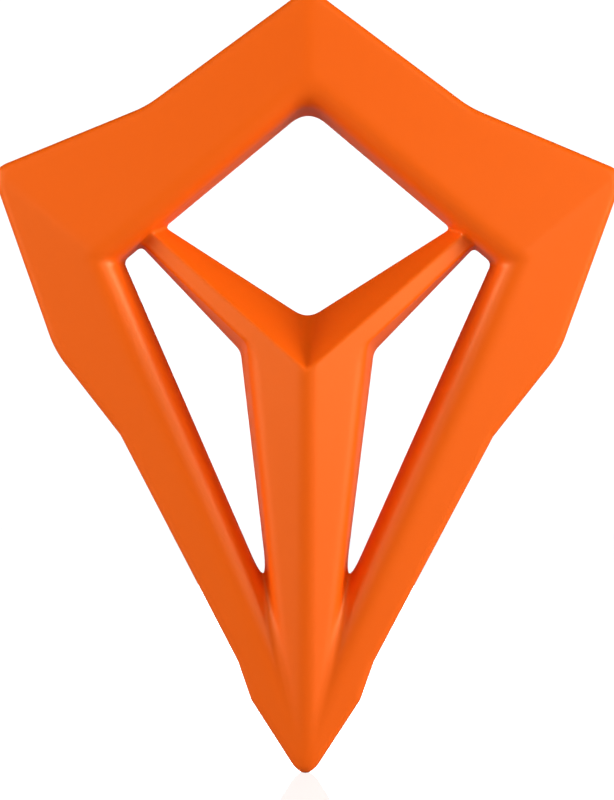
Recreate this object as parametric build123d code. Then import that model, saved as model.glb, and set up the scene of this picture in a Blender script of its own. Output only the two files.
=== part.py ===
from build123d import *
import os
from math import atan, cos, degrees, hypot, radians, sin, tan

# Kite-shaped throwing toy, millimetres.  X runs to the right, Z runs up the long axis and
# Y runs from the front face (-Y) to the back face (+Y).  Every piece is drawn lying down,
# with X across, Y up the long axis and Z as the depth from the mid-plane, and is stood up
# when it is written.

# Outline at the mid-plane: right-hand corners as (across, along), and their rounding radii.
top_along = 126.4
notch_across, notch_along = 51.8, 88.2
side_across, side_along = 101.4, 67.9
shoulder_across, shoulder_along = 80.9, 10.0
waist_across, waist_along = 59.7, -16.9
tip_notch_across, tip_notch_along = 21.8, -89.2
tip_shoulder_across, tip_shoulder_along = 17.5, -101.6
tip_along = -128.6
top_radius = 6.5
notch_radius = 35.0
side_radius = 5.0
shoulder_radius = 34.0
waist_radius = 3.0
tip_notch_radius = 4.0
tip_shoulder_radius = 6.0
tip_radius = 4.4

# Depth of each half: heights of the four front facets above the mid-plane.
hub_along = 3.6
hub_depth = 26.0
tip_depth = 6.0
side_depth = 8.2
top_depth = 14.2
crease_foot_along = -14.5
top_crease_radius = 25.0
low_crease_radius = 12.0
inner_crease_radius = 7.0
outer_edge_radius = 3.0

# Large kite opening inside the ring, at the mid-plane.
opening_top_along = 87.9
opening_side_across, opening_side_along = 58.7, 38.9
opening_foot_along = -94.4
upper_wall_draft = 10.0
lower_wall_draft = 18.0
opening_top_radius = 7.9
opening_side_radius = 2.5
opening_foot_radius = 4.0
rim_radius = 6.0

# Y of arms and leg.  The flat bands of the arms and the flanks of the leg lie on the same
# two roof planes, which meet on the leg's ridge and fall to the mid-plane inside the ring.
roof_foot_across = 51.0
roof_slope = degrees(atan(hub_depth / roof_foot_across))
ridge_radius = 7.0
arm_ridge_hub_along = 3.6
arm_upper_hub_along = 21.1
arm_upper_end_across, arm_upper_end_along = 45.3, 50.1
arm_lower_leg_across, arm_lower_leg_along = 21.6, 10.1
arm_lower_end_across, arm_lower_end_along = 53.4, 43.3
arm_lower_draft = 10.7
arm_band_radius = 2.0
arm_root_across = 56.0
fork_radius = 7.7
leg_hub_half_width = 20.8
leg_foot_along = -112.0
leg_foot_half_width = 6.8
leg_side_draft = 9.0
leg_shoulder_radius = 5.0

# Hollow shells, with a glued tongue and groove round every edge of the mid-plane.
wall = 3.0
joint_offset = 1.3
groove_width = 1.2
groove_clearance = 0.1
tongue_height = 1.0
seam_thickness = 0.4

# Foam strips in the channels of the shells.
core_clearance = 0.2
core_gap = 1.0

# Height of the blocks that the solids are cut from, how far they reach under the mid-plane,
# and how near a surface a point has to be to lie on it.
tall = 60.0
under = 2.0
touching = 0.001

# Points along an edge where it is tested, and the least slope of an edge that runs up a wall.
test_shares = (0.2, 0.5, 0.8)
wall_edge_slope = 0.8


def line_cross(a, b, c, d):
    """Point where the line through a and b meets the line through c and d."""
    along_x, along_y = b[0] - a[0], b[1] - a[1]
    other_x, other_y = d[0] - c[0], d[1] - c[1]
    share = ((c[0] - a[0]) * other_y - (c[1] - a[1]) * other_x) / (along_x * other_y - along_y * other_x)
    return (a[0] + along_x * share, a[1] + along_y * share)


def line_moved(a, b, distance):
    """The line through a and b, moved to the left of its direction."""
    length = hypot(b[0] - a[0], b[1] - a[1])
    shift_x = -(b[1] - a[1]) / length * distance
    shift_y = (b[0] - a[0]) / length * distance
    return (a[0] + shift_x, a[1] + shift_y), (b[0] + shift_x, b[1] + shift_y)


def outline():
    """Outer outline of the toy on the mid-plane."""
    right = [
        ((notch_across, notch_along), notch_radius),
        ((side_across, side_along), side_radius),
        ((shoulder_across, shoulder_along), shoulder_radius),
        ((waist_across, waist_along), waist_radius),
        ((tip_notch_across, tip_notch_along), tip_notch_radius),
        ((tip_shoulder_across, tip_shoulder_along), tip_shoulder_radius),
    ]
    left = [((-corner[0], corner[1]), radius) for corner, radius in reversed(right)]
    corners = [((0, top_along), top_radius)] + right + [((0, tip_along), tip_radius)] + left
    edges = FilletPolyline(*[c for c, r in corners], radius=[r for c, r in corners], close=True)
    return make_face(edges)


def plane_through(a, b, c):
    """Plane through three points, with its normal to the front."""
    a, b, c = Vector(*a), Vector(*b), Vector(*c)
    normal = (b - a).cross(c - a).normalized()
    if normal.Z < 0:
        normal = -normal
    return Plane(origin=a, x_dir=(b - a).normalized(), z_dir=normal)


def ridge_depth(along):
    """Depth of the straight ridge from the hub to the tip."""
    return hub_depth + (along - hub_along) * (hub_depth - tip_depth) / (hub_along - tip_along)


def facet_planes(sign):
    """Lower and upper facet planes of one side."""
    corner = (sign * side_across, side_along, side_depth)
    lower = plane_through((0, hub_along, hub_depth), (0, tip_along, tip_depth), corner)
    foot = (0, crease_foot_along, ridge_depth(crease_foot_along))
    upper = plane_through(foot, (0, top_along, top_depth), corner)
    return lower, upper


def creases(body):
    """Edges where two of the four facets meet: the top one, and the three lower ones."""
    facets = [f for f in body.faces() if f.geom_type == GeomType.PLANE and 0.5 < f.normal_at().Z < 0.999]
    top, low = [], []
    for edge in body.edges():
        middle = edge @ 0.5
        if sum(f.distance_to(middle) < touching for f in facets) < 2:
            continue
        if abs(middle.X) < touching and middle.Y > crease_foot_along:
            top.append(edge)
        else:
            low.append(edge)
    return top, low


def blank(inset):
    """Front half of the toy before the opening is cut: outline, four facets, soft creases."""
    face = outline()
    if inset:
        face = offset(face, -inset, kind=Kind.INTERSECTION)
    body = extrude(face, tall)
    for sign in (-1, 1):
        for plane in facet_planes(sign):
            body = split(body, bisect_by=plane.offset(-inset), keep=Keep.BOTTOM)
    if inset:
        top, low = creases(body)
        return fillet(top + low, inner_crease_radius)
    body = fillet(creases(body)[1], low_crease_radius)
    return fillet(creases(body)[0], top_crease_radius)


def opening_section(depth, inset):
    """Kite-shaped section of the opening at one depth, with the ring's walls inset."""
    upper_out = depth * tan(radians(upper_wall_draft)) + inset / cos(radians(upper_wall_draft))
    lower_out = depth * tan(radians(lower_wall_draft)) + inset / cos(radians(lower_wall_draft))
    corner = (opening_side_across, opening_side_along)
    upper = line_moved((0, opening_top_along), corner, upper_out)
    lower = line_moved(corner, (0, opening_foot_along), lower_out)
    axis = ((0, 0), (0, 1))
    top = line_cross(*upper, *axis)
    side = line_cross(*upper, *lower)
    foot = line_cross(*lower, *axis)
    return Plane.XY.offset(depth) * make_face(Polyline(top, side, foot, (-side[0], side[1]), close=True))


def opening(inset):
    """Kite-shaped hole in the ring, widening towards the front, with rounded corners."""
    hole = loft([opening_section(-under, inset), opening_section(tall, inset)], ruled=True)

    def corner_edges(middle_test):
        steep = [e for e in hole.edges() if abs((e @ 0).Z - (e @ 1).Z) > tall / 2]
        return [e for e in steep if middle_test(e @ 0.5)]

    hole = fillet(corner_edges(lambda m: abs(m.X) < touching and m.Y > 0), opening_top_radius + inset)
    hole = fillet(corner_edges(lambda m: abs(m.X) < touching and m.Y < 0), opening_foot_radius + inset)
    hole = fillet(corner_edges(lambda m: abs(m.X) > touching), opening_side_radius + inset)
    return hole


def rim_edges(body, hole):
    """Edges where the front facets meet the walls of the opening."""
    found = []
    for edge in body.edges():
        if min((edge @ 0).Z, (edge @ 1).Z) < touching:
            continue
        on_wall = all(hole.distance_to(edge @ share) < touching for share in test_shares)
        wall_line = abs((edge @ 0).Z - (edge @ 1).Z) > wall_edge_slope * edge.length
        if on_wall and not wall_line:
            found.append(edge)
    return found


def outer_edges(body):
    """Edges where the front facets meet the outer side walls."""
    walls = [f for f in extrude(outline(), tall).faces() if abs(f.normal_at().Z) < 0.1]
    found = []
    for edge in body.edges():
        ends = (edge @ 0).Z, (edge @ 1).Z
        if min(ends) < touching or abs(ends[0] - ends[1]) > wall_edge_slope * edge.length:
            continue
        if all(min(w.distance_to(edge @ share) for w in walls) < touching for share in test_shares):
            found.append(edge)
    return found


def ring(inset):
    """Front half of the ring: blank less the opening, with rounded rims."""
    hole = opening(inset)
    body = blank(inset) - hole
    body = fillet(rim_edges(body, hole), rim_radius - inset)
    if not inset:
        body = fillet(outer_edges(body), outer_edge_radius)
    return body


def ridge_rise():
    """How far the sharp ridge of the roof stands over the ring's, so that both end up level."""
    facet_slope = (ridge_depth(side_along) - side_depth) / side_across
    ring_drop = low_crease_radius * (hypot(1, facet_slope) - 1)
    leg_drop = ridge_radius * (1 / cos(radians(roof_slope)) - 1)
    return leg_drop - ring_drop


def wall_plane(a, b, draft, inset):
    """Drafted wall along the plan line from a to b, with its normal to the left of the line."""
    run = Vector(b[0] - a[0], b[1] - a[1], 0).normalized()
    left = Vector(-run.Y, run.X, 0)
    normal = left * cos(radians(draft)) + Vector(0, 0, 1) * sin(radians(draft))
    return Plane(origin=(a[0], a[1], 0), x_dir=run, z_dir=normal).offset(-inset)


def keep_behind(body, planes):
    """Part of the body on the inner side of every plane."""
    for plane in planes:
        body = split(body, bisect_by=plane, keep=Keep.BOTTOM)
    return body


def slab(low_x, high_x, low_y, high_y):
    """Block from the mid-plane to well above the object."""
    corner = Pos(low_x, low_y, 0)
    return corner * Box(high_x - low_x, high_y - low_y, tall, align=(Align.MIN, Align.MIN, Align.MIN))


def upper_wall(inset):
    """Upper wall of the right arm, from the fork at the mid-plane to the ridge at the hub."""
    hub_ridge = ridge_depth(arm_ridge_hub_along) + ridge_rise()
    fork = (0, arm_upper_hub_along, 0)
    end = (arm_upper_end_across, arm_upper_end_along, 0)
    return plane_through(fork, end, (0, arm_ridge_hub_along, hub_ridge)).offset(-inset)


def roof(inset):
    """Wedge under the two roof planes, with the leg's ridge rounded."""
    body = slab(-side_across, side_across, tip_along, top_along)
    hub_ridge = ridge_depth(hub_along) + ridge_rise()
    tip_ridge = ridge_depth(tip_along) + ridge_rise()
    for sign in (-1, 1):
        eave = (sign * side_across, hub_along, hub_ridge - side_across * tan(radians(roof_slope)))
        plane = plane_through((0, hub_along, hub_ridge), (0, tip_along, tip_ridge), eave)
        body = split(body, bisect_by=plane.offset(-inset), keep=Keep.BOTTOM)
    ridge = body.edges().sort_by(Axis.Z)[-1]
    return fillet(ridge, ridge_radius - inset)


def mirror_across(plane):
    """The same plane on the other side of the long axis."""
    origin, run, normal = plane.origin, plane.x_dir, plane.z_dir
    return Plane(
        origin=(-origin.X, origin.Y, origin.Z),
        x_dir=(-run.X, run.Y, run.Z),
        z_dir=(-normal.X, normal.Y, normal.Z),
    )


def long_top_edges(body, shortest):
    """Long edges of the leg's top, left and right of its rounded ridge."""
    ridge_half_width = ridge_radius * sin(radians(roof_slope))
    found = []
    for edge in body.edges():
        clear_of_ridge = abs((edge @ 0.5).X) > ridge_half_width + touching
        if min((edge @ 0).Z, (edge @ 1).Z) > touching and edge.length > shortest and clear_of_ridge:
            found.append(edge)
    return found


def arms(inset):
    """Both arms, joined on the long axis, with a round fork between their upper walls."""
    lower_leg = (arm_lower_leg_across, arm_lower_leg_along)
    lower_end = (arm_lower_end_across, arm_lower_end_along)
    lower = wall_plane(lower_end, lower_leg, arm_lower_draft, inset)
    right = keep_behind(slab(0, arm_root_across, -side_across, side_across), [upper_wall(inset), lower])
    body = right + mirror(right, about=Plane.YZ)
    steep = [e for e in body.edges() if abs((e @ 0).Z - (e @ 1).Z) > touching]
    on_axis = [e for e in steep if abs((e @ 0.5).X) < touching]
    fork = max(on_axis, key=lambda edge: (edge @ 0.5).Y)
    body = fillet(fork, fork_radius + inset) & roof(inset)
    if inset:
        return body
    top = []
    for edge in body.edges():
        ends, middle = ((edge @ 0), (edge @ 1)), edge @ 0.5
        if min(end.Z for end in ends) < touching or abs(abs(middle.X) - arm_root_across) < touching:
            continue
        if abs(ends[0].X - ends[1].X) > touching:
            top.append(edge)
    return fillet(top, arm_band_radius)


def leg(inset):
    """Leg, from the tip of the ring to just short of the fork between the arms."""
    foot = (leg_foot_half_width, leg_foot_along)
    hub = (leg_hub_half_width, hub_along)
    right = wall_plane(hub, foot, leg_side_draft, inset)
    body = slab(-side_across, side_across, leg_foot_along, side_along)
    body = keep_behind(body, [right, mirror_across(right)]) & roof(inset)
    if inset < leg_shoulder_radius:
        body = fillet(long_top_edges(body, side_along), leg_shoulder_radius - inset)
    end = upper_wall(inset + arm_band_radius)
    return keep_behind(body, [end]) + keep_behind(body, [mirror_across(end)])


def y_bars(inset):
    """Front half of the Y: both arms and the leg."""
    return arms(inset) + leg(inset)


def front_form(inset):
    """Whole front half of the toy as one solid, with its surface moved in by the inset."""
    return ring(inset) + y_bars(inset)


def mid_plane_section(inset):
    """Flat underside of the front half: the toy's section on the mid-plane."""
    faces = front_form(inset).faces()
    return min(faces, key=lambda face: abs(face.center().Z) + (face.normal_at().Z > -0.999) * tall)


def joint_bands(near, far):
    """Plan bands between two depths into the wall: round the outside and round each window."""
    loops = (mid_plane_section(near) - mid_plane_section(far)).faces()
    outer, left, top, right = loops.sort_by(lambda face: face.bounding_box().min.X)
    return {"outer": outer, "left_window": left, "top_window": top, "right_window": right}


def side_divider(sign):
    """Upright plane through a side crease, with its normal up the long axis."""
    run = Vector(sign * side_across, side_along - crease_foot_along, 0).normalized()
    normal = Vector(-run.Y, run.X, 0) * sign
    return Plane(origin=(0, crease_foot_along, 0), x_dir=run, z_dir=normal)


def leg_divider(sign):
    """Upright plane between the leg and one arm, with its normal up the long axis."""
    run = Vector(sign * arm_lower_leg_across, arm_lower_leg_along, 0).normalized()
    normal = Vector(-run.Y, run.X, 0) * sign
    return Plane(origin=(0, 0, 0), x_dir=run, z_dir=normal)


def above(body, plane):
    """Part of the body in front of a divider, half a gap clear of it."""
    return split(body, bisect_by=plane.offset(core_gap / 2), keep=Keep.TOP)


def below(body, plane):
    """Part of the body behind a divider, half a gap clear of it."""
    return split(body, bisect_by=plane.offset(-core_gap / 2), keep=Keep.BOTTOM)


def foam_cores():
    """Foam strips that fill the channels of both shells, one for each bar."""
    inset = wall + core_clearance
    ring_half = ring(inset)
    y_half = y_bars(inset) & opening(inset - core_gap)
    ring_foam = ring_half + mirror(ring_half, about=Plane.XY)
    y_foam = y_half + mirror(y_half, about=Plane.XY)
    middle = Plane(origin=(0, 0, 0), x_dir=(0, 1, 0), z_dir=(1, 0, 0))
    cores = {}
    for name, sign in (("left", -1), ("right", 1)):
        facing = middle if sign > 0 else Plane(origin=(0, 0, 0), x_dir=(0, 1, 0), z_dir=(-1, 0, 0))
        ring_side = above(ring_foam, facing)
        cores["core_upper_" + name] = above(ring_side, side_divider(sign))
        cores["core_lower_" + name] = below(ring_side, side_divider(sign))
        cores["core_arm_" + name] = above(above(y_foam, facing), leg_divider(sign))
    cores["core_leg"] = below(below(y_foam, leg_divider(-1)), leg_divider(1))
    return cores


def build():
    """Every piece, lying down, by node name."""
    half_shell = front_form(0) - front_form(wall)
    far = joint_offset + groove_width
    front = half_shell
    back = half_shell
    pieces = {}
    for band in joint_bands(joint_offset + groove_clearance, far - groove_clearance).values():
        front = front + extrude(band, tongue_height, dir=(0, 0, -1))
    for name, band in joint_bands(joint_offset, far).items():
        back = back - extrude(band, tongue_height + seam_thickness, dir=(0, 0, 1))
        seam = Pos(0, 0, tongue_height) * extrude(band, seam_thickness, dir=(0, 0, 1))
        pieces["seam_" + name] = mirror(seam, about=Plane.XY)
    pieces["front_shell"] = front
    pieces["back_shell"] = mirror(back, about=Plane.XY)
    pieces.update(foam_cores())
    return pieces


def stand_up(shape):
    """Turn a piece from its drawing position to upright, centred on the object's height."""
    box = outline().bounding_box()
    middle = (box.min.Y + box.max.Y) / 2
    return Rot(90, 0, 0) * Pos(0, -middle, 0) * shape


os.makedirs("parts", exist_ok=True)
for node, piece in build().items():
    export_step(stand_up(piece), "parts/" + node + ".step")
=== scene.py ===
import bpy
import numpy as np
from math import cos, radians, sin, tan, hypot
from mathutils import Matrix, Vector


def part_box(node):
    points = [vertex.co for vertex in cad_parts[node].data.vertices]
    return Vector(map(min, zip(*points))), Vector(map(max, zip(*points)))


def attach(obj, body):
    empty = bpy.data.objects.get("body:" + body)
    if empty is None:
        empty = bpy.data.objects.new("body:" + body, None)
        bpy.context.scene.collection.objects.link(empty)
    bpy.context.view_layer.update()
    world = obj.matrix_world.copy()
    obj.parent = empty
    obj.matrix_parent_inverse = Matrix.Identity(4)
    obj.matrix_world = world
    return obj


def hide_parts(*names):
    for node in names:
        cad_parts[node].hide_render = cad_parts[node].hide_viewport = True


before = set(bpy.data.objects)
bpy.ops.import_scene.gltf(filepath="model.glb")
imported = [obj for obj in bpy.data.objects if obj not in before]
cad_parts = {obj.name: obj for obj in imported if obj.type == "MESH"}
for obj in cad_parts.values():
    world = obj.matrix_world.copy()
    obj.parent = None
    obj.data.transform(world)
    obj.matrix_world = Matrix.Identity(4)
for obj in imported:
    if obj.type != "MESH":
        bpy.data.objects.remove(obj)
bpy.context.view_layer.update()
scene = bpy.context.scene
scene.view_settings.view_transform = "Standard"


# FRONT AND BACK SHELLS.  The outside of the toy: two hollow halves 3 mm thick, moulded in orange
# soft-touch rubber and glued edge to edge on the mid-plane.  Every edge is rounded, and the arms
# and the leg run into the ring through small fillets.

# The mould is drawn in millimetres, with x to the right, y up the long axis and z out from the
# mid-plane.  add_shell fits it to its CAD node's box, in metres.
SHELL_WALL = 3.0
PITCH = 0.7
GRID_ACROSS = 104.0
GRID_BELOW, GRID_ABOVE = -131.0, 130.0
GRID_DEPTH = 28.0

# Corners of the outline's right half, from the top down, as (x, y).
TOP = (0, 126.4)
NOTCH = (51.8, 88.2)
SIDE = (101.4, 67.9)
SHOULDER = (80.9, 10.0)
WAIST = (59.7, -16.9)
TIP_NOTCH = (21.8, -89.2)
TIP_SHOULDER = (17.5, -101.6)
TIP = (0, -128.6)
RIM_RADII = (35.0, 5.0, 34.0, 3.0, 4.0, 6.0)
TOP_RADIUS, TIP_RADIUS = 6.5, 4.4

# Depths from the mid-plane: the hub is the highest point, and the ridge falls from it to the tip.
HUB = 3.6
HUB_DEPTH, TIP_DEPTH, SIDE_DEPTH, TOP_DEPTH = 26.0, 6.0, 8.2, 14.2
HIGH_FACET_FOOT = -14.5
RIDGE_RADIUS, LOW_CREASE_RADIUS, TOP_CREASE_RADIUS = 7.0, 12.0, 25.0

# The ring's opening, which the arms and the leg divide into three windows.
OPEN_TOP, OPEN_SIDE, OPEN_TIP = (0, 87.9), (58.7, 38.9), (0, -94.4)
OPEN_HIGH_DRAFT, OPEN_LOW_DRAFT = 10.0, 18.0
OPEN_TOP_RADIUS, OPEN_TIP_RADIUS, OPEN_SIDE_RADIUS = 7.9, 4.0, 2.5
RIM_HEIGHTS, RIM_ROUNDING = (10.0, 50.0), (9.0, 6.5)

# Arms and leg.  The fork between the arms is round at the mid-plane and crisp at the ridge.
FORK, ARM_HIGH_END = (0, 21.1), (45.3, 50.1)
ARM_LOW_END, ARMPIT = (53.4, 43.3), (21.6, 10.1)
LEG_TOP, LEG_FOOT = (20.8, 3.6), (6.8, -112.0)
ARM_DRAFT, LEG_DRAFT = 10.7, 9.0
ROOF_SLOPE = tan(radians(27.0))
FORK_RADIUS, FORK_EDGE = 7.7, 0.8
LEG_TOP_DROP = 2.0
ARMPIT_WIDTH = 1.2
ARM_EDGE_RADIUS, LEG_EDGE_RADIUS = 2.0, 7.0
EDGE_CHANGE, EDGE_START = 5.0, 0.3

# Where the pieces of the shape meet.
FILLET_HEIGHTS, FILLET_WIDTHS = (-30.0, 20.0), (4.2, 1.7)
FILLET_FADE = 2.0
OUTER_EDGE_WIDTH = 2.5
PARTING_DEPTH, PARTING_WIDTH = 0.2, 0.5
MIDDLE_SOFTENING = 0.3


def soft_max(a, b, width):
    """Larger of two distances, with the corner between them rounded over the width."""
    h = np.maximum(width - np.abs(a - b), 0.0) / np.maximum(width, 1e-6)
    return np.maximum(a, b) + h * h * width * 0.25


def soft_min(a, b, width):
    """Smaller of two distances, rounded in the same way."""
    return -soft_max(-a, -b, width)


def plane(*points):
    """Unit normal and offset of a plane through three points, facing the front."""
    a, b, c = (np.array(p, float) for p in points)
    normal = np.cross(b - a, c - a)
    normal = normal / np.linalg.norm(normal)
    if normal[2] < 0:
        normal = -normal
    return normal, normal @ a


def wall(a, b, draft=0.0):
    """Plane that stands on the plan line from a to b and faces left, leaning back by the draft."""
    run = np.array((b[0] - a[0], b[1] - a[1])) / hypot(b[0] - a[0], b[1] - a[1])
    lean = radians(draft)
    normal = np.array((-run[1] * cos(lean), run[0] * cos(lean), sin(lean)))
    return normal, normal[0] * a[0] + normal[1] * a[1]


def mirrored(surface):
    """The same surface on the other side of the long axis."""
    return surface[0] * np.array((-1, 1, 1)), surface[1]


def over(surface, x, y, z):
    """Distance in front of a plane."""
    normal, offset = surface
    return normal[0] * x + normal[1] * y + normal[2] * z - offset


def pair(surface, x, y, z):
    """Distances in front of a plane and of its mirror image."""
    return over(surface, x, y, z), over(mirrored(surface), x, y, z)


def round_width(radius, surface, other):
    """Width over which two surfaces blend to give a rounding of this radius."""
    return 4.0 * radius * (1.0 - np.sqrt((1.0 + float(np.clip(surface[0] @ other[0], -1, 1))) / 2.0))


def own_width(radius, surface):
    """The same, for a plane that meets its own mirror image."""
    return round_width(radius, surface, mirrored(surface))


def ridge(along):
    """Depth of the sharp ridge from the hub to the tip."""
    return HUB_DEPTH + (along - HUB) * (HUB_DEPTH - TIP_DEPTH) / (HUB - TIP[1])


RIM_CORNERS = (TOP, NOTCH, SIDE, SHOULDER, WAIST, TIP_NOTCH, TIP_SHOULDER, TIP)
RIM_LINES = [wall(a, b) for a, b in zip(RIM_CORNERS[:-1], RIM_CORNERS[1:])]
LOW_FACET = plane((0, HUB, HUB_DEPTH), (0, TIP[1], TIP_DEPTH), SIDE + (SIDE_DEPTH,))
HIGH_FACET = plane(
    (0, HIGH_FACET_FOOT, ridge(HIGH_FACET_FOOT)), (0, TOP[1], TOP_DEPTH), SIDE + (SIDE_DEPTH,))
OPEN_HIGH = wall(OPEN_SIDE, OPEN_TOP, OPEN_HIGH_DRAFT)
OPEN_LOW = wall(OPEN_TIP, OPEN_SIDE, OPEN_LOW_DRAFT)

# The roof of the arms and leg is raised so that its rounded ridge lies level with the ring's.
FACET_SLOPE = (ridge(SIDE[1]) - SIDE_DEPTH) / SIDE[0]
ROOF_RISE = RIDGE_RADIUS * (hypot(1, ROOF_SLOPE) - 1) - LOW_CREASE_RADIUS * (hypot(1, FACET_SLOPE) - 1)
ROOF_TOP = HUB_DEPTH + ROOF_RISE
ROOF = plane(
    (0, HUB, ROOF_TOP), (0, TIP[1], TIP_DEPTH + ROOF_RISE),
    (SIDE[0], HUB, ROOF_TOP - SIDE[0] * ROOF_SLOPE))
ARM_HIGH = plane(FORK + (0,), ARM_HIGH_END + (0,), (0, HUB, ROOF_TOP))
ARM_LOW = wall(ARM_LOW_END, ARMPIT, ARM_DRAFT)
LEG_SIDE = wall(LEG_TOP, LEG_FOOT, LEG_DRAFT)


def outline_distance(x, y):
    """Distance outside the outline, seen from the front."""
    widths = [round_width(r, p, q) for r, p, q in zip(RIM_RADII, RIM_LINES[:-1], RIM_LINES[1:])]

    def half(across):
        """The right half's outline, or the left one's for a negated x."""
        a, b, c, d, e, f, g = (over(line, across, y, 0.0) for line in RIM_LINES)
        high = soft_max(soft_min(a, b, widths[0]), c, widths[1])
        low = soft_min(soft_min(d, e, widths[3]), f, widths[4])
        return soft_max(soft_max(high, low, widths[2]), g, widths[5])

    top_width = own_width(TOP_RADIUS, RIM_LINES[0])
    tip_width = own_width(TIP_RADIUS, RIM_LINES[-1])
    return soft_max(half(x), half(-x), np.where(y > 0, top_width, tip_width))


def ring_distance(x, y, z):
    """Distance outside the ring, and outside its front facets alone."""
    low = soft_max(*pair(LOW_FACET, x, y, z), own_width(LOW_CREASE_RADIUS, LOW_FACET))
    high = soft_max(*pair(HIGH_FACET, x, y, z), own_width(TOP_CREASE_RADIUS, HIGH_FACET))
    facets = soft_max(low, high, round_width(LOW_CREASE_RADIUS, LOW_FACET, HIGH_FACET))
    open_high = soft_min(*pair(OPEN_HIGH, x, y, z), own_width(OPEN_TOP_RADIUS, OPEN_HIGH))
    open_low = soft_min(*pair(OPEN_LOW, x, y, z), own_width(OPEN_TIP_RADIUS, OPEN_LOW))
    inside = soft_min(open_high, open_low, round_width(OPEN_SIDE_RADIUS, OPEN_HIGH, OPEN_LOW))
    rim = np.interp(y, RIM_HEIGHTS, RIM_ROUNDING) * round_width(1.0, HIGH_FACET, OPEN_HIGH)
    return soft_max(facets, inside, rim), facets


def bars_distance(x, y, z):
    """Distance outside the Y of arms and leg."""
    fork = np.clip(FORK_RADIUS * (1.0 - z / ROOF_TOP), 0.0, None) + FORK_EDGE
    arms_high = soft_min(*pair(ARM_HIGH, x, y, z), fork * own_width(1.0, ARM_HIGH))
    arms = np.maximum(arms_high, np.maximum(*pair(ARM_LOW, x, y, z)))
    leg = np.maximum(np.maximum(*pair(LEG_SIDE, x, y, z)), arms_high + LEG_TOP_DROP)
    walls = soft_min(arms, leg, ARMPIT_WIDTH)
    roof = soft_max(*pair(ROOF, x, y, z), own_width(RIDGE_RADIUS, ROOF))
    leg_share = np.clip((arms - leg) / EDGE_CHANGE + EDGE_START, 0.0, 1.0)
    edge_radius = ARM_EDGE_RADIUS + (LEG_EDGE_RADIUS - ARM_EDGE_RADIUS) * leg_share
    return soft_max(walls, roof, edge_radius * round_width(1.0, ROOF, LEG_SIDE))


def body_distance(x, y, z):
    """Distance outside the moulding, with the fine parting line round the mid-plane."""
    parting_line = PARTING_DEPTH * np.exp(-(z / PARTING_WIDTH) ** 2)
    z = np.sqrt(z * z + MIDDLE_SOFTENING)
    ring, facets = ring_distance(x, y, z)
    fade = 1.0 - np.exp(np.minimum(facets, 0.0) / FILLET_FADE)
    fillet = np.interp(y, FILLET_HEIGHTS, FILLET_WIDTHS) * fade
    solid = soft_min(ring, bars_distance(x, y, z), fillet)
    return soft_max(solid, outline_distance(x, y), OUTER_EDGE_WIDTH) + parting_line


def slope_at(points):
    """Distance and its slope at each point."""
    step = 0.02
    value = body_distance(*points.T)
    slope = np.empty_like(points)
    for axis in range(3):
        moved = points.copy()
        moved[:, axis] += step
        back = points.copy()
        back[:, axis] -= step
        slope[:, axis] = (body_distance(*moved.T) - body_distance(*back.T)) / (2 * step)
    return value, slope


def settle(points, level):
    """Points moved along the slope to where the distance is the level."""
    gentlest = 0.3
    value, slope = slope_at(points)
    steep = np.maximum((slope ** 2).sum(1), gentlest)
    move = np.clip((value - level) / steep, -PITCH, PITCH)
    return points - slope * move[:, None]


def skin_points(value):
    """One point in each grid cell that the skin passes through, in cells, and the cells."""
    inside = value < 0
    shape = tuple(n - 1 for n in value.shape)
    total = np.zeros(shape + (3,), np.float32)
    count = np.zeros(shape, np.int32)

    def corner(grid, i, j, k):
        """The grid's values at one of the eight corners of every cell."""
        return grid[i:i + shape[0], j:j + shape[1], k:k + shape[2]]

    for axis in range(3):
        others = [a for a in range(3) if a != axis]
        for p, q in ((0, 0), (0, 1), (1, 0), (1, 1)):
            near = [0, 0, 0]
            near[others[0]], near[others[1]] = p, q
            far = list(near)
            far[axis] = 1
            a, b = corner(value, *near), corner(value, *far)
            cut = corner(inside, *near) != corner(inside, *far)
            share = np.where(cut, a / np.where(cut, a - b, 1.0), 0.0)
            for other in range(3):
                total[..., other] += cut * (share if other == axis else near[other])
            count += cut
    cells = np.argwhere(count > 0)
    return total[tuple(cells.T)] / count[tuple(cells.T)][:, None] + cells, cells


def skin_faces(value, cells):
    """One four-sided face for each grid edge that the skin crosses, facing outward."""
    inside = value < 0
    shape = tuple(n - 1 for n in value.shape)
    number = np.full(shape, -1, np.int64)
    number[tuple(cells.T)] = np.arange(len(cells))
    faces = []
    for axis, (u, v) in enumerate(((1, 2), (2, 0), (0, 1))):
        a = inside[tuple(slice(None, -1) if n == axis else slice(None) for n in range(3))]
        b = inside[tuple(slice(1, None) if n == axis else slice(None) for n in range(3))]
        edges = np.argwhere(a != b)
        edges = edges[(edges[:, u] > 0) & (edges[:, v] > 0)]
        if axis != 2:
            edges = edges[edges[:, 2] > 0]
        edges = edges[(edges[:, u] < shape[u]) & (edges[:, v] < shape[v])]
        loop = []
        for du, dv in ((1, 1), (0, 1), (0, 0), (1, 0)):
            cell = edges.copy()
            cell[:, u] -= du
            cell[:, v] -= dv
            loop.append(number[tuple(cell.T)])
        quads = np.stack(loop, axis=1)
        outward = a[tuple(edges.T)]
        faces.append(np.where(outward[:, None], quads, quads[:, ::-1]))
    return np.concatenate(faces)


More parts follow.
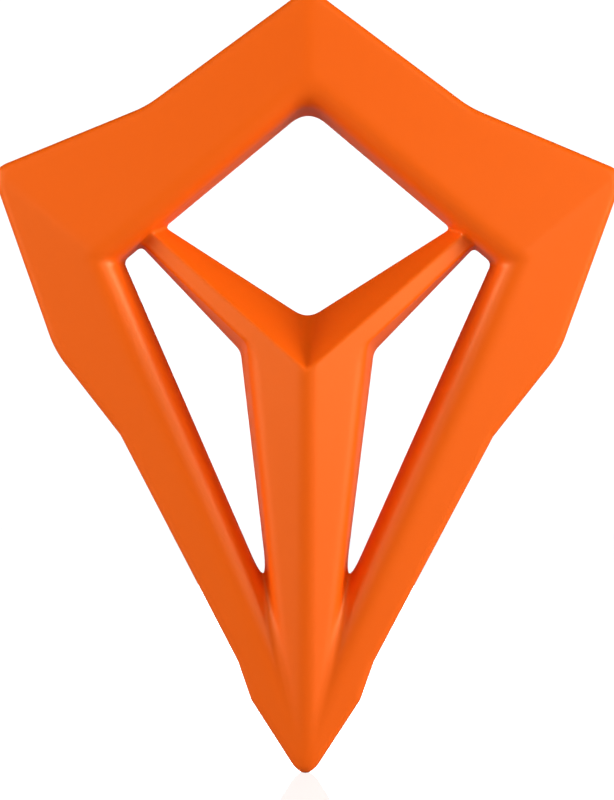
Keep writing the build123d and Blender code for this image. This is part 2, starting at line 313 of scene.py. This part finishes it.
def front_surface():
    """Points and four-sided faces of the front half of the moulding's outside."""
    settle_rounds = 4
    xs = np.arange(-GRID_ACROSS, GRID_ACROSS, PITCH)
    ys = np.arange(GRID_BELOW, GRID_ABOVE, PITCH)
    zs = (np.arange(int(GRID_DEPTH / PITCH) + 2) - 0.5) * PITCH
    gx, gy = np.meshgrid(xs, ys, indexing="ij")
    value = np.stack([body_distance(gx, gy, np.full_like(gx, z)) for z in zs], axis=2)
    points, cells = skin_points(value)
    points = points * PITCH + np.array((xs[0], ys[0], zs[0]))
    land = cells[:, 2] == 0
    points[land, 2] = 0.0
    for _ in range(settle_rounds):
        points = settle(points, 0.0)
        points[land, 2] = 0.0
    return points, skin_faces(value, cells)


def shell_mesh():
    """Closed front shell: outer skin, inner skin one wall further in, and the flat land between them."""
    outer, faces = front_surface()
    inner = outer.copy()
    steps = 8
    for step in range(steps):
        inner = settle(inner, -SHELL_WALL * (step + 1) / steps)
    land = outer[:, 2] == 0.0
    inner[land, 2] = 0.0
    count = len(outer)
    starts = faces.reshape(-1)
    ends = np.roll(faces, -1, axis=1).reshape(-1)
    twin = np.isin(starts * count + ends, ends * count + starts)
    lone_starts, lone_ends = starts[~twin], ends[~twin]
    bridge = np.stack([lone_ends, lone_starts, lone_starts + count, lone_ends + count], axis=1)
    points = np.concatenate([outer, inner])
    return points, np.concatenate([faces, faces[:, ::-1] + count, bridge])


def add_shell(name, node, points, faces, side, material):
    """One shell, fitted to its CAD node's box: side 1 is the front one, -1 the back one."""
    low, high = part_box(node)
    along_low, along_high = points[:, 1].min(), points[:, 1].max()
    across = (high.x - low.x) / (points[:, 0].max() - points[:, 0].min())
    along = (high.z - low.z) / (along_high - along_low)
    deep = (-low.y if side > 0 else high.y) / points[:, 2].max()
    placed = np.stack([
        points[:, 0] * across,
        -side * points[:, 2] * deep,
        low.z + (points[:, 1] - along_low) * along,
    ], axis=1)
    order = faces if side > 0 else faces[:, ::-1]
    mesh = bpy.data.meshes.new(name)
    mesh.from_pydata(placed.tolist(), [], order.tolist())
    mesh.update()
    mesh.shade_smooth()
    piece = bpy.data.objects.new(name, mesh)
    scene.collection.objects.link(piece)
    mesh.materials.append(material)
    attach(piece, "root")
    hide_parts(node)


def moulded_grain():
    """Node group for a moulded skin: fine grain, faint clouds in the pigment and an uneven polish."""
    group = bpy.data.node_groups.new("moulded grain", "ShaderNodeTree")
    face = group.interface
    face.new_socket("Colour", in_out="INPUT", socket_type="NodeSocketColor")
    face.new_socket("Cloud colour", in_out="INPUT", socket_type="NodeSocketColor")
    for name in ("Cloud scale", "Grain scale", "Grain height", "Rough low", "Rough high"):
        face.new_socket(name, in_out="INPUT", socket_type="NodeSocketFloat")
    face.new_socket("Colour", in_out="OUTPUT", socket_type="NodeSocketColor")
    face.new_socket("Roughness", in_out="OUTPUT", socket_type="NodeSocketFloat")
    face.new_socket("Normal", in_out="OUTPUT", socket_type="NodeSocketVector")
    nodes, links = group.nodes, group.links
    given = nodes.new("NodeGroupInput")
    out = nodes.new("NodeGroupOutput")
    place = nodes.new("ShaderNodeTexCoord")
    cloud = nodes.new("ShaderNodeTexNoise")
    cloud.inputs["Detail"].default_value = 3.0
    links.new(place.outputs["Object"], cloud.inputs["Vector"])
    links.new(given.outputs["Cloud scale"], cloud.inputs["Scale"])
    grain = nodes.new("ShaderNodeTexNoise")
    grain.inputs["Detail"].default_value = 4.0
    grain.inputs["Roughness"].default_value = 0.6
    links.new(place.outputs["Object"], grain.inputs["Vector"])
    links.new(given.outputs["Grain scale"], grain.inputs["Scale"])
    tint = nodes.new("ShaderNodeMix")
    tint.data_type = "RGBA"
    links.new(cloud.outputs["Fac"], tint.inputs["Factor"])
    links.new(given.outputs["Colour"], tint.inputs["A"])
    links.new(given.outputs["Cloud colour"], tint.inputs["B"])
    links.new(tint.outputs["Result"], out.inputs["Colour"])
    polish = nodes.new("ShaderNodeMapRange")
    links.new(grain.outputs["Fac"], polish.inputs["Value"])
    links.new(given.outputs["Rough low"], polish.inputs["To Min"])
    links.new(given.outputs["Rough high"], polish.inputs["To Max"])
    links.new(polish.outputs["Result"], out.inputs["Roughness"])
    bump = nodes.new("ShaderNodeBump")
    bump.inputs["Strength"].default_value = 1.0
    links.new(given.outputs["Grain height"], bump.inputs["Distance"])
    links.new(grain.outputs["Fac"], bump.inputs["Height"])
    links.new(bump.outputs["Normal"], out.inputs["Normal"])
    return group


def moulded_material(name, group, **values):
    """Material with the moulded grain at its own values, and its shader for further settings."""
    material = bpy.data.materials.new(name)
    material.use_nodes = True
    nodes, links = material.node_tree.nodes, material.node_tree.links
    shader = nodes["Principled BSDF"]
    grain = nodes.new("ShaderNodeGroup")
    grain.node_tree = group
    for key, value in values.items():
        grain.inputs[key.replace("_", " ")].default_value = value
    links.new(grain.outputs["Colour"], shader.inputs["Base Color"])
    links.new(grain.outputs["Roughness"], shader.inputs["Roughness"])
    links.new(grain.outputs["Normal"], shader.inputs["Normal"])
    return material, shader


def finish_nodes(first_word, material):
    """Gives the CAD's own pieces whose names start with this word their material."""
    for name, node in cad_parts.items():
        if name.startswith(first_word):
            node.data.materials.clear()
            node.data.materials.append(material)


grain_group = moulded_grain()
rubber, rubber_shader = moulded_material(
    "orange soft-touch rubber", grain_group,
    Colour=(0.93, 0.116, 0.0006, 1.0), Cloud_colour=(0.95, 0.124, 0.001, 1.0),
    Cloud_scale=14.0, Grain_scale=2600.0, Grain_height=0.00002, Rough_low=0.38, Rough_high=0.46)
rubber_shader.inputs["Specular IOR Level"].default_value = 0.75
rubber_shader.inputs["Specular Tint"].default_value = (1.0, 0.60, 0.28, 1.0)

shell_points, shell_faces = shell_mesh()
add_shell("front_shell_moulding", "front_shell", shell_points, shell_faces, 1, rubber)
add_shell("back_shell_moulding", "back_shell", shell_points, shell_faces, -1, rubber)
finish_nodes("front_shell", rubber)
finish_nodes("back_shell", rubber)


# FOAM CORES.  Seven die-cut strips of pale grey open-celled foam, pressed into the channels of
# the two shells before they are closed.  They never show.
foam, _ = moulded_material(
    "pale foam", grain_group,
    Colour=(0.55, 0.54, 0.50, 1.0), Cloud_colour=(0.48, 0.47, 0.44, 1.0),
    Cloud_scale=40.0, Grain_scale=1400.0, Grain_height=0.0002, Rough_low=0.85, Rough_high=1.0)
finish_nodes("core_", foam)


# ADHESIVE BEADS.  Four thin beads of set amber adhesive, one round the outside and one round
# each window, laid in the back shell's groove to hold the front shell's tongue.
glue, _ = moulded_material(
    "amber adhesive", grain_group,
    Colour=(0.60, 0.42, 0.16, 1.0), Cloud_colour=(0.52, 0.34, 0.12, 1.0),
    Cloud_scale=60.0, Grain_scale=900.0, Grain_height=0.00003, Rough_low=0.12, Rough_high=0.22)
finish_nodes("seam_", glue)


# FLOOR.  A plain white studio floor at the level of the toy's tip, painted matt and varnished.
# It reads white and mirrors the tip faintly when looked at, and throws little light back.
FLOOR_REACH = 3.0
FLOOR_GREY = 0.35
FLOOR_GLOW = 1.05
FLOOR_MIRROR = 0.3
low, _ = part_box("front_shell")
floor_mesh = bpy.data.meshes.new("floor")
floor_mesh.from_pydata(
    [(-FLOOR_REACH, -FLOOR_REACH, low.z), (FLOOR_REACH, -FLOOR_REACH, low.z),
     (FLOOR_REACH, FLOOR_REACH, low.z), (-FLOOR_REACH, FLOOR_REACH, low.z)],
    [], [(0, 1, 2, 3)])
floor = bpy.data.objects.new("floor", floor_mesh)
scene.collection.objects.link(floor)
floor_material = bpy.data.materials.new("white floor")
floor_material.use_nodes = True
floor_nodes, floor_links = floor_material.node_tree.nodes, floor_material.node_tree.links
paint = floor_nodes["Principled BSDF"]
paint.inputs["Base Color"].default_value = (FLOOR_GREY, FLOOR_GREY, FLOOR_GREY, 1.0)
paint.inputs["Roughness"].default_value = 0.9
paint.inputs["Emission Color"].default_value = (1.0, 1.0, 1.0, 1.0)
seen_directly = floor_nodes.new("ShaderNodeLightPath")
glow = floor_nodes.new("ShaderNodeMath")
glow.operation = "MULTIPLY"
glow.inputs[1].default_value = FLOOR_GLOW
floor_links.new(seen_directly.outputs["Is Camera Ray"], glow.inputs[0])
floor_links.new(glow.outputs["Value"], paint.inputs["Emission Strength"])
varnish = floor_nodes.new("ShaderNodeBsdfGlossy")
varnish.inputs["Roughness"].default_value = 0.0
gloss = floor_nodes.new("ShaderNodeMath")
gloss.operation = "MULTIPLY"
gloss.inputs[1].default_value = FLOOR_MIRROR
floor_links.new(seen_directly.outputs["Is Camera Ray"], gloss.inputs[0])
coated = floor_nodes.new("ShaderNodeMixShader")
floor_links.new(gloss.outputs["Value"], coated.inputs["Fac"])
floor_links.new(paint.outputs["BSDF"], coated.inputs[1])
floor_links.new(varnish.outputs["BSDF"], coated.inputs[2])
floor_links.new(coated.outputs["Shader"], floor_nodes["Material Output"].inputs["Surface"])
floor_mesh.materials.append(floor_material)


# BACKDROP.  Plain white all round the toy where it is looked at, directly or in the varnish,
# and only a dim fill light on the toy itself.
FILL_STRENGTH = 0.03
SEEN_STRENGTH = 1.1
world = bpy.data.worlds.new("studio")
scene.world = world
world.use_nodes = True
world_nodes, world_links = world.node_tree.nodes, world.node_tree.links
background = world_nodes["Background"]
background.inputs["Color"].default_value = (1.0, 1.0, 1.0, 1.0)
seen = world_nodes.new("ShaderNodeLightPath")
bright = world_nodes.new("ShaderNodeMath")
bright.operation = "MAXIMUM"
world_links.new(seen.outputs["Is Camera Ray"], bright.inputs[0])
world_links.new(seen.outputs["Is Singular Ray"], bright.inputs[1])
strength = world_nodes.new("ShaderNodeMapRange")
world_links.new(bright.outputs["Value"], strength.inputs["Value"])
strength.inputs["To Min"].default_value = FILL_STRENGTH
strength.inputs["To Max"].default_value = SEEN_STRENGTH
world_links.new(strength.outputs["Result"], background.inputs["Strength"])


# LIGHTS.  A tall soft box far out on each side, the right one brighter, so that the walls inside
# the windows stay dark.  Weak ones light the front, the top and the back.
def soft_light(name, place, size, power):
    """Rectangular soft light at a place in metres, turned to the middle of the toy, in watts."""
    light = bpy.data.lights.new(name, "AREA")
    light.shape = "RECTANGLE"
    light.size, light.size_y = size
    light.energy = power
    lamp = bpy.data.objects.new(name, light)
    lamp.location = place
    lamp.rotation_mode = "QUATERNION"
    lamp.rotation_quaternion = (-Vector(place)).to_track_quat("-Z", "Y")
    scene.collection.objects.link(lamp)


soft_light("left light", (-1.38, -0.42, 0.05), (0.75, 1.3), 25.0)
soft_light("right light", (1.38, -0.42, 0.05), (0.75, 1.3), 37.0)
soft_light("front left light", (-0.80, -1.22, 0.05), (0.5, 1.3), 4.2)
soft_light("front right light", (0.80, -1.22, 0.05), (0.5, 1.3), 6.3)
soft_light("top light", (0.0, -0.90, 1.05), (1.2, 0.6), 2.6)
soft_light("back light", (0.0, 1.60, 0.10), (0.7, 0.7), 9.0)


# CAMERA.  Straight in front with a long lens, a little below the middle of the toy and leaning
# by a quarter of a degree.
CAMERA_DISTANCE = 1.6
CAMERA_HEIGHT = -0.0054
CAMERA_LEAN = -0.25
VIEW_HEIGHT = 0.257
SENSOR = 36.0
camera_data = bpy.data.cameras.new("camera")
camera_data.sensor_width = SENSOR
camera_data.lens = SENSOR * CAMERA_DISTANCE / VIEW_HEIGHT
camera = bpy.data.objects.new("camera", camera_data)
camera.location = (0.0, -CAMERA_DISTANCE, CAMERA_HEIGHT)
camera.rotation_euler = (radians(90.0), radians(CAMERA_LEAN), 0.0)
scene.collection.objects.link(camera)
scene.camera = camera
